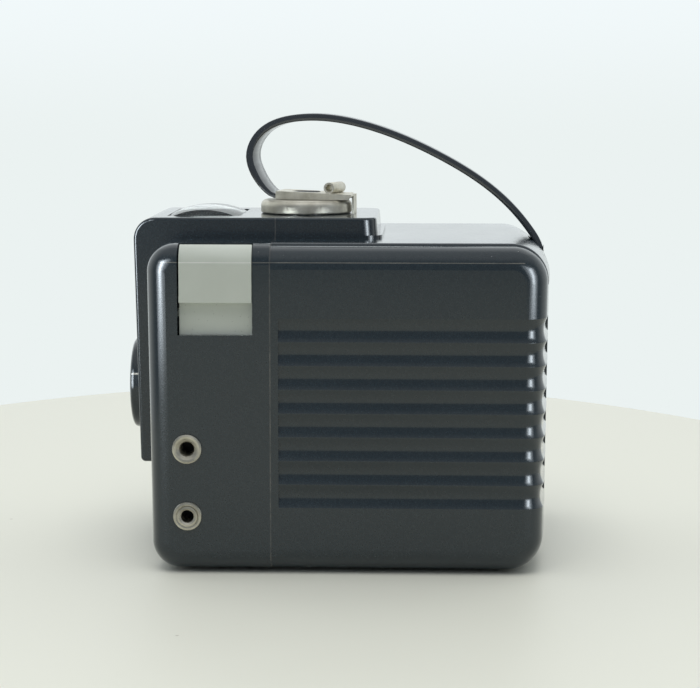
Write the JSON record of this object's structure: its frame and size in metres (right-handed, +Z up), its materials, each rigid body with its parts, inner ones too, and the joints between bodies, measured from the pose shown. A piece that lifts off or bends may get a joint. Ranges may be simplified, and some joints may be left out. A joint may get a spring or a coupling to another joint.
{
  "type": "box camera",
  "caption": "Moulded black box camera with ribbed rear cover, looped carry strap, round top latch, grey shutter release, flash sockets and winding knob.",
  "frame": {"origin": "middle of the flat base, at the height it stands on", "axes": "+Z up, -Y toward the lens side (front), +X toward the side with the grey shutter release and flash sockets"},
  "size_m": [0.0945, 0.1089, 0.1131],
  "materials": {
    "case_black": "polished moulded phenolic",
    "inner_black": "matt black inside",
    "release_grey": "moulded grey-green",
    "nickel": "dull nickel plate",
    "plate_steel": "zinc-plated steel",
    "spring_steel": "spring wire",
    "contact_brass": "bare",
    "front_metal": "satin with fine vertical lines",
    "clear_glass": "polished",
    "red_film": "red sheet",
    "silvered": "silvered glass",
    "spool_enamel": "black enamel",
    "strap_vinyl": "smooth flexible vinyl"
  },
  "bodies": {
    "camera": {"bulb_guide": "plate_steel", "button_spring": "spring_steel", "carrier_screws": "plate_steel", "catch_plate": "plate_steel", "catch_screws": "plate_steel", "cover_glass": "clear_glass", "face_plate": "front_metal", "film_carrier": "inner_black", "finder_bezel": "front_metal", "finder_box": "inner_black", "finder_front_lens": "clear_glass", "finder_mirror": "silvered", "finder_top_frame": "case_black", "finder_top_lens": "clear_glass", "flash_contacts": "contact_brass", "front_housing": "case_black", "glass_retainer": "spring_steel", "knob_washer": "inner_black", "lens_retainer": "plate_steel", "lens_ring": "case_black", "lever_pin": "plate_steel", "meniscus_lens": "clear_glass", "pin_socket": "nickel", "release_guide": "plate_steel", "screw_socket": "nickel", "shutter_pivot": "plate_steel", "shutter_plate": "plate_steel", "shutter_screws": "plate_steel", "shutter_spring": "spring_steel", "socket_nuts": "plate_steel", "spool_pins": "plate_steel"},
    "cover": {"rear_cover": "case_black", "red_window": "red_film", "window_retainer": "spring_steel", "strap_pin": "plate_steel", "latch_washer": "spring_steel", "strap_clip": "nickel", "latch_rivet": "spool_enamel", "carry_strap": "strap_vinyl"},
    "latch": {"latch_disc": "nickel", "latch_bolt": "plate_steel"},
    "release": {"shutter_button": "release_grey"},
    "bulb": {"bulb_lever": "release_grey"},
    "lever": {"release_lever": "plate_steel"},
    "shutter": {"shutter_blade": "spool_enamel"},
    "knob": {"winding_knob": "case_black", "winding_shaft": "plate_steel", "shaft_clip": "spring_steel"},
    "takeup": {"takeup_spool": "spool_enamel"},
    "supply": {"supply_spool": "spool_enamel"},
    "roller_up": {"upper_roller": "plate_steel"},
    "roller_down": {"lower_roller": "plate_steel"}
  },
  "joints": [
    {"name": "cover_slide", "type": "slide", "parent": "camera", "child": "cover", "axis": [0, 1, 0], "range_m": [0, 0.09]},
    {"name": "latch_turn", "type": "hinge", "parent": "cover", "child": "latch", "pos_m": [0, -0.0118, 0.089], "axis": [0, 0, 1], "range_deg": [0, 90]},
    {"name": "release_press", "type": "slide", "parent": "camera", "child": "release", "axis": [0, 0, -1], "range_m": [0, 0.005], "stiffness_N_per_m": 250, "springref_m": -0.003, "deforming": ["button_spring"]},
    {"name": "bulb_slide", "type": "slide", "parent": "camera", "child": "bulb", "axis": [0, 0, 1], "range_m": [0, 0.005]},
    {"name": "lever_swing", "type": "hinge", "parent": "camera", "child": "lever", "pos_m": [0.024, -0.0454, 0.058], "axis": [0, 1, 0], "range_deg": [0, 24]},
    {"name": "blade_swing", "type": "hinge", "parent": "camera", "child": "shutter", "pos_m": [-0.008, -0.0495, 0.054], "axis": [0, -1, 0], "range_deg": [0, 49]},
    {"name": "knob_turn", "type": "hinge", "parent": "camera", "child": "knob", "pos_m": [-0.045, -0.031, 0.015], "axis": [-1, 0, 0], "continuous": true},
    {"name": "takeup_spin", "type": "hinge", "parent": "camera", "child": "takeup", "pos_m": [0, -0.031, 0.015], "axis": [-1, 0, 0], "continuous": true},
    {"name": "supply_spin", "type": "hinge", "parent": "camera", "child": "supply", "pos_m": [0, -0.0155, 0.0674], "axis": [-1, 0, 0], "continuous": true},
    {"name": "upper_roll", "type": "hinge", "parent": "camera", "child": "roller_up", "pos_m": [0, 0.041, 0.0753], "axis": [-1, 0, 0], "continuous": true},
    {"name": "lower_roll", "type": "hinge", "parent": "camera", "child": "roller_down", "pos_m": [0, 0.041, 0.0089], "axis": [-1, 0, 0], "continuous": true}
  ],
  "couplings": [
    {"joint": "lever_swing", "follows": "release_press", "rad_per_m": 82},
    {"joint": "blade_swing", "follows": "release_press", "rad_per_m": 170},
    {"joint": "knob_turn", "follows": "takeup_spin", "ratio": 1}
  ]
}
